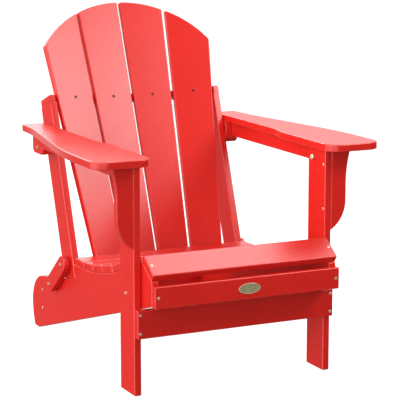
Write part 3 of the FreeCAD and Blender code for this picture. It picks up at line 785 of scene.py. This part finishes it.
@dataclass
class Head:
    """A turned fastener head with a driver's recess, and the shank under it."""

    radius: float
    rise: float
    drive: Drive
    recess_radius: float
    recess_depth: float
    shank_radius: float
    sides: int = 24
    rounds: int = 4
    under_share: float = 0.96
    rim_share: float = 0.1
    lip_share: float = 1.35
    floor_share: float = 0.86

    def add(self, work: bmesh.types.BMesh, spot: Spot, lift: float) -> None:
        """Add one fastener to a mesh.

        Args:
            work: The mesh.
            spot: Where it goes.
            lift: How far its head's flat side is from the spot, outwards.
        """
        outward = -spot.inward
        turn = outward.to_track_quat("Z", "X").to_matrix().to_4x4()
        place = Matrix.Translation(spot.place + outward * lift) @ turn
        lip = self.recess_radius * self.lip_share
        profile = [(self.shank_radius, -spot.length), (self.shank_radius, 0.0)]
        profile.append((self.radius * self.under_share, 0.0))
        for step in range(self.rounds + 1):
            share = step / self.rounds
            radius = self.radius + (lip - self.radius) * share
            dome = math.sin(share * math.pi / 2)
            high = self.rim_share * self.rise + (1.0 - self.rim_share) * self.rise * dome
            profile.append((radius, high))
        rings = turned(profile, self.sides, work, place)
        work.faces.new(list(reversed(rings[0])))
        corners = self.drive.value
        walls = []
        for depth in (0.0, self.recess_depth):
            ring = []
            for number in range(corners):
                angle = 2 * math.pi * number / corners
                radius = self.recess_radius * (1.0 if depth == 0 else self.floor_share)
                aside, up = radius * math.cos(angle), radius * math.sin(angle)
                ring.append(work.verts.new(place @ Vector((aside, up, self.rise - depth))))
            walls.append(ring)
        fan(work, rings[-1], walls[0])
        for number in range(corners):
            after = (number + 1) % corners
            work.faces.new((walls[0][number], walls[0][after], walls[1][after], walls[1][number]))
        work.faces.new(walls[1])
        shade = work.loops.layers.float_color[MASK]
        for number, ring in enumerate(rings + walls):
            for vertex in ring:
                for loop in vertex.link_loops:
                    loop[shade] = (float(number in RIM_RINGS), 0.0, 0.0, 1.0)


def finished(work: bmesh.types.BMesh, name: str, bluntness: float = 35.0) -> bpy.types.Mesh:
    """Turn a worked mesh into a finished one with its sharp edges marked.

    Args:
        work: The mesh, which is freed.
        name: Its name.
        bluntness: Edges that bend more than this many degrees stay sharp.

    Returns:
        The finished mesh.
    """
    bmesh.ops.recalc_face_normals(work, faces=work.faces)
    for edge in work.edges:
        edge.smooth = edge.calc_face_angle(0.0) < math.radians(bluntness)
    mesh = bpy.data.meshes.new(name)
    work.to_mesh(mesh)
    work.free()
    return mesh


@dataclass
class Screws:
    """The screws of one node: pan heads that stand a little proud, with a square recess."""

    node: str
    body: str
    slot: Slot = Slot.STEEL
    head: Head = field(
        default_factory=lambda: Head(4.2 * MM, 0.9 * MM, Drive.SQUARE, 1.7 * MM, 1.5 * MM, 2.2 * MM)
    )

    def build(self, shop: Workshop) -> None:
        """Make the node's screws as one piece."""
        work = bmesh.new()
        work.loops.layers.float_color.new(MASK)
        for spot in Fastening(self.node).spots():
            self.head.add(work, spot, 0.0)
        mesh = finished(work, self.node + "_turned")
        shop.piece(self.node + "_heads", mesh, self.body, self.slot, [self.node])


@dataclass
class Bolts:
    """The bolts of one node: button heads with a six-sided socket."""

    node: str
    body: str
    crown: float = 3.5 * MM
    head: Head = field(
        default_factory=lambda: Head(8.0 * MM, 3.4 * MM, Drive.HEX, 2.6 * MM, 2.2 * MM, 4.0 * MM)
    )

    def build(self, shop: Workshop) -> None:
        """Make the node's bolts as one piece."""
        work = bmesh.new()
        work.loops.layers.float_color.new(MASK)
        for spot in Fastening(self.node).spots():
            shank = Spot(spot.place, spot.inward, spot.length - self.crown)
            self.head.add(work, shank, -self.crown)
        mesh = finished(work, self.node + "_turned")
        shop.piece(self.node + "_heads", mesh, self.body, Slot.STEEL, [self.node])


@dataclass
class LockNuts:
    """The nuts of one node: six-sided, chamfered, with the domed collar of a lock nut."""

    node: str
    body: str
    corner_radius: float = 7.4 * MM
    collar_radius: float = 5.6 * MM
    bore_radius: float = 4.0 * MM
    high: float = 6.5 * MM

    def add(self, work: bmesh.types.BMesh, middle: Vector, outward: Vector) -> None:
        """Add one nut to a mesh.

        Args:
            work: The mesh.
            middle: The nut's middle.
            outward: The direction of its domed end.
        """
        turn = outward.to_track_quat("Z", "X").to_matrix().to_4x4()
        place = Matrix.Translation(middle - outward * (self.high / 2)) @ turn
        hexagon = turned(
            [
                (self.corner_radius * 0.93, 0.0),
                (self.corner_radius, 0.6 * MM),
                (self.corner_radius, 3.9 * MM),
                (self.corner_radius * 0.9, 4.5 * MM),
            ],
            6,
            work,
            place,
        )
        collar = turned(
            [
                (self.collar_radius, 4.5 * MM),
                (self.collar_radius, 5.6 * MM),
                (self.collar_radius - 0.7 * MM, self.high),
                (self.bore_radius + 0.5 * MM, self.high),
                (self.bore_radius, 5.9 * MM),
            ],
            24,
            work,
            place,
        )
        fan(work, collar[0], hexagon[-1])
        work.faces.new(collar[-1])
        work.faces.new(list(reversed(hexagon[0])))

    def build(self, shop: Workshop) -> None:
        """Make the node's nuts as one piece."""
        work = bmesh.new()
        for solid in Fastening(self.node).solids:
            middle = Fastening.middle(solid)
            inward = Vector((-1.0 if middle.x > 0 else 1.0, 0.0, 0.0))
            places = [place for place in solid if place.x * inward.x > middle.x * inward.x]
            end = max(place.x * inward.x for place in places)
            face = Vector((end * inward.x, middle.y, middle.z)) - inward * (self.high / 2)
            self.add(work, face, inward)
        mesh = finished(work, self.node + "_turned", 25.0)
        shop.piece(self.node + "_hexagons", mesh, self.body, Slot.STEEL, [self.node])


# ---- sub-assemblies ------------------------------------------------------------------------


def tint_of(name: str) -> float:
    """A steady share from 0 to 1 for a board's name, so that no two boards match exactly."""
    total = sum((place + 3) * ord(letter) for place, letter in enumerate(name))
    return (total * 37 % 101) / 100.0


@dataclass
class SubAssembly:
    """Boards, screws, bolts and nuts that ride on one body."""

    body: str
    boards: List[str] = field(default_factory=list)
    screws: List[str] = field(default_factory=list)
    bolts: List[str] = field(default_factory=list)
    nuts: List[str] = field(default_factory=list)
    kept: List[str] = field(default_factory=list)
    ease: float = 2.6 * MM

    def build(self, shop: Workshop) -> None:
        """Make every piece of the sub-assembly.

        Args:
            shop: The finishes.
        """
        for node in self.boards:
            Board(node, self.body, self.ease).build(shop, tint_of(node))
        for node in self.screws:
            Screws(node, self.body).build(shop)
        for node in self.bolts:
            Bolts(node, self.body).build(shop)
        for node in self.nuts:
            LockNuts(node, self.body).build(shop)
        for node in self.kept:
            shop.dress(node, Slot.NYLON)


@dataclass
class SeatFrame(SubAssembly):
    """Rails, seat slats, front apron with its oval plate, and the rear stretcher."""

    body: str = "seat"
    slats: int = 6
    rim_width: float = 1.6 * MM
    rim_rise: float = 0.5 * MM
    plate_sides: int = 64

    def __post_init__(self) -> None:
        """Name the sub-assembly's pieces."""
        self.boards = ["rail_" + side for side in SIDES]
        self.boards += ["seat_slat_front", "seat_slat_rear", "front_apron", "rear_stretcher"]
        self.boards += ["seat_slat_" + str(number + 1) for number in range(self.slats)]
        self.screws = ["seat_screws", "front_apron_screws", "stretcher_screws"]
        self.bolts = ["ledge_bolts"]
        self.nuts = ["ledge_nuts"]

    def build(self, shop: Workshop) -> None:
        """Make the boards and the plate."""
        super().build(shop)
        self.oval_plate(shop)

    def oval_plate(self, shop: Workshop) -> None:
        """Make the blank oval plate: a crowned field inside a raised rim."""
        low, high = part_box("badge_plate")
        middle = (low + high) / 2
        half_width, half_height = (high.x - low.x) / 2, (high.z - low.z) / 2
        rings = (
            (0.0, high.y),
            (0.0, low.y + 0.5 * MM),
            (0.4 * MM, low.y + 0.1 * MM),
            (self.rim_width * 0.6, low.y),
            (self.rim_width, low.y + 0.3 * MM),
            (self.rim_width + 0.3 * MM, low.y + self.rim_rise),
            (self.rim_width + 1.1 * MM, low.y + self.rim_rise),
            (5.0 * MM, low.y + 0.40 * MM),
            (9.0 * MM, low.y + 0.34 * MM),
        )
        work = bmesh.new()
        mask = work.loops.layers.float_color.new(MASK)
        loops = []
        for inset, depth in rings:
            ring = []
            for number in range(self.plate_sides):
                angle = 2 * math.pi * number / self.plate_sides
                across = (half_width - inset) * math.cos(angle)
                up = (half_height - inset) * math.sin(angle)
                ring.append(work.verts.new((middle.x + across, depth, middle.z + up)))
            loops.append(ring)
        rim_faces = []
        line_faces = []
        for index, (outer, inner) in enumerate(zip(loops, loops[1:])):
            for number in range(self.plate_sides):
                after = (number + 1) % self.plate_sides
                made = work.faces.new((outer[number], outer[after], inner[after], inner[number]))
                if index < 5:
                    rim_faces.append(made)
                # the band just inside the rim carries the painted groove shade
                elif index == 5:
                    line_faces.append(made)
        work.faces.new(loops[-1])
        work.faces.new(list(reversed(loops[0])))
        rim, line = set(rim_faces), set(line_faces)
        for face in work.faces:
            for loop in face.loops:
                loop[mask] = (float(face in rim), float(face in line), 0.0, 1.0)
        mesh = finished(work, "badge_plate_rimmed", 50.0)
        shop.piece("oval_plate", mesh, self.body, Slot.BADGE, ["badge_plate"])


@dataclass
class FrontFrame(SubAssembly):
    """The front legs, their low apron and the curved brackets."""

    body: str = "front_frame"

    def __post_init__(self) -> None:
        """Name the sub-assembly's pieces."""
        self.boards = [kind + side for kind in ("leg_", "bracket_") for side in SIDES]
        self.boards.append("leg_apron")
        self.screws = ["leg_apron_screws", "bracket_screws"]
        self.bolts = ["leg_bolts"]
        self.nuts = ["leg_nuts"]
        self.kept = ["leg_washers"]


@dataclass
class Arm(SubAssembly):
    """One arm: the wide board, the rail under it and the rear spacer."""

    side: str = "left"

    def __post_init__(self) -> None:
        """Name the sub-assembly's pieces."""
        self.body = "arm_" + self.side
        self.boards = [kind + self.side for kind in ("arm_board_", "arm_support_", "arm_spacer_")]
        self.screws = ["arm_screws_" + self.side]
        self.bolts = ["arm_bolts_" + self.side]
        self.nuts = ["arm_nut_" + self.side]


@dataclass
class Link(SubAssembly):
    """One link between a rail and an upright."""

    side: str = "left"

    def __post_init__(self) -> None:
        """Name the sub-assembly's pieces."""
        self.body = "link_" + self.side
        self.boards = ["link_" + self.side]
        self.kept = ["link_washers_" + self.side]


@dataclass
class Back(SubAssembly):
    """The fan back: uprights, tapered slats in a hollow, and two cross boards."""

    body: str = "back"

    def __post_init__(self) -> None:
        """Name the sub-assembly's pieces."""
        self.boards = ["upright_" + side for side in SIDES]
        self.boards += [
            "back_slat_" + kind + side for kind in ("inner_", "outer_") for side in SIDES
        ]
        self.boards += ["back_top_board", "back_low_board"]
        self.screws = ["back_board_screws"]
        self.bolts = ["back_link_bolts"]
        self.nuts = ["back_link_nuts"]

    def build(self, shop: Workshop) -> None:
        """Make the boards, the dark slat screws and the arm bolts' nuts."""
        super().build(shop)
        # the slat screws carry painted recess shade in their dark colour
        Screws("back_slat_screws", self.body, Slot.DARK_SCREW).build(shop)
        LockNuts("back_arm_nuts", self.body).build(shop)


# ---- surroundings --------------------------------------------------------------------------


@dataclass(frozen=True)
class Lamp:
    """One soft studio lamp."""

    name: str
    place: Tuple[float, float, float]
    target: Tuple[float, float, float]
    size: Tuple[float, float]
    watts: float
    colour: Colour = (1.0, 1.0, 1.0)

    def build(self) -> None:
        """Hang the lamp."""
        data = bpy.data.lights.new(self.name, "AREA")
        data.shape = "RECTANGLE"
        data.size, data.size_y = self.size
        data.energy = self.watts
        data.color = self.colour
        lamp = bpy.data.objects.new(self.name, data)
        lamp.visible_camera = False
        lamp.location = self.place
        aim = Vector(self.target) - Vector(self.place)
        lamp.rotation_mode = "QUATERNION"
        lamp.rotation_quaternion = aim.to_track_quat("-Z", "Y")
        bpy.context.scene.collection.objects.link(lamp)


@dataclass
class Studio:
    """Floor, lamps, sky and camera."""

    eye: Tuple[float, float, float] = (-1.8864, -4.0801, 1.2566)
    aim: Tuple[float, float, float] = (0.0425, -0.0602, 0.4224)
    lens: float = 152.78
    sensor: float = 36.0
    floor_half: float = 40.0
    backdrop: float = 1.0
    sky_base: float = 0.05
    sky_lobes: Tuple[Tuple[Tuple[float, float, float], float, float], ...] = (
        ((-0.97, 0.02, 0.22), 0.50, 2.8),
        ((0.43, 0.885, 0.18), 0.60, 1.1),
        ((0.0, 0.0, 1.0), 0.0, 0.05),
        ((0.0, -1.0, 0.0), 0.0, 0.08),
    )
    lamps: Tuple[Lamp, ...] = (
        Lamp("top_softbox", (1.15, -0.05, 2.65), (0.05, -0.25, 0.35), (1.5, 1.4), 35.0),
        Lamp("key_softbox", (1.62, -1.52, 2.0), (-0.05, 0.25, 0.75), (1.1, 0.95), 30.0),
        Lamp("front_softbox", (-1.5, -3.4, 1.0), (0.0, -0.3, 0.3), (1.5, 1.5), 34.0),
        Lamp("rear_softbox", (-0.1, 2.6, 2.0), (0.0, -0.2, 0.5), (2.0, 1.0), 45.0),
    )

    def build(self) -> None:
        """Set the studio up."""
        self.floor()
        for lamp in self.lamps:
            lamp.build()
        self.sky()
        self.camera()

    def floor(self) -> None:
        """Lay the floor."""
        half = self.floor_half
        mesh = bpy.data.meshes.new("floor")
        corners = [(-half, -half, 0.0), (half, -half, 0.0), (half, half, 0.0), (-half, half, 0.0)]
        mesh.from_pydata(corners, [], [(0, 1, 2, 3)])
        mesh.materials.append(FloorFinish().material())
        floor = bpy.data.objects.new("floor", mesh)
        bpy.context.scene.collection.objects.link(floor)
        floor.visible_diffuse = False
        floor.visible_glossy = False

    def sky(self) -> None:
        """Fill the room with white light that is brightest from behind and from the left."""
        world = bpy.data.worlds.new("studio_sky")
        world.use_nodes = True
        tree = world.node_tree
        place = tree.nodes.new("ShaderNodeTexCoord")
        total = None
        for direction, start, strength in self.sky_lobes:
            facing = tree.nodes.new("ShaderNodeVectorMath")
            facing.operation = "DOT_PRODUCT"
            facing.inputs[1].default_value = direction
            tree.links.new(place.outputs["Generated"], facing.inputs[0])
            share = tree.nodes.new("ShaderNodeMapRange")
            share.inputs["From Min"].default_value = start
            share.inputs["To Max"].default_value = strength
            tree.links.new(facing.outputs["Value"], share.inputs["Value"])
            joined = tree.nodes.new("ShaderNodeMath")
            joined.operation = "ADD"
            joined.inputs[1].default_value = self.sky_base
            tree.links.new(share.outputs["Result"], joined.inputs[0])
            if total is not None:
                tree.links.new(total, joined.inputs[1])
            total = joined.outputs["Value"]
        ray = tree.nodes.new("ShaderNodeLightPath")
        shown = tree.nodes.new("ShaderNodeMix")
        shown.inputs["B"].default_value = self.backdrop
        tree.links.new(ray.outputs["Is Camera Ray"], shown.inputs["Factor"])
        tree.links.new(total, shown.inputs["A"])
        ground = tree.nodes["Background"]
        ground.inputs["Color"].default_value = WHITE
        tree.links.new(shown.outputs["Result"], ground.inputs["Strength"])
        bpy.context.scene.world = world

    def camera(self) -> None:
        """Set the camera where the viewer stands."""
        data = bpy.data.cameras.new("camera")
        data.lens = self.lens
        data.sensor_width = self.sensor
        data.clip_end = 200.0
        camera = bpy.data.objects.new("camera", data)
        camera.location = self.eye
        look = Vector(self.aim) - Vector(self.eye)
        camera.rotation_mode = "QUATERNION"
        camera.rotation_quaternion = look.to_track_quat("-Z", "Y")
        bpy.context.scene.collection.objects.link(camera)
        bpy.context.scene.camera = camera


def main() -> None:
    """Build the studio and the chair, one sub-assembly after another."""
    Studio().build()
    bpy.context.scene.view_settings.view_transform = "Standard"
    shop = Workshop()
    parts: List[SubAssembly] = [SeatFrame(), FrontFrame()]
    for side in SIDES:
        parts.append(Arm(body="arm_" + side, side=side))
        parts.append(Link(body="link_" + side, side=side))
    parts.append(Back())
    for part in parts:
        log.info("building %s", type(part).__name__)
        part.build(shop)


if __name__ == "__main__":
    main()
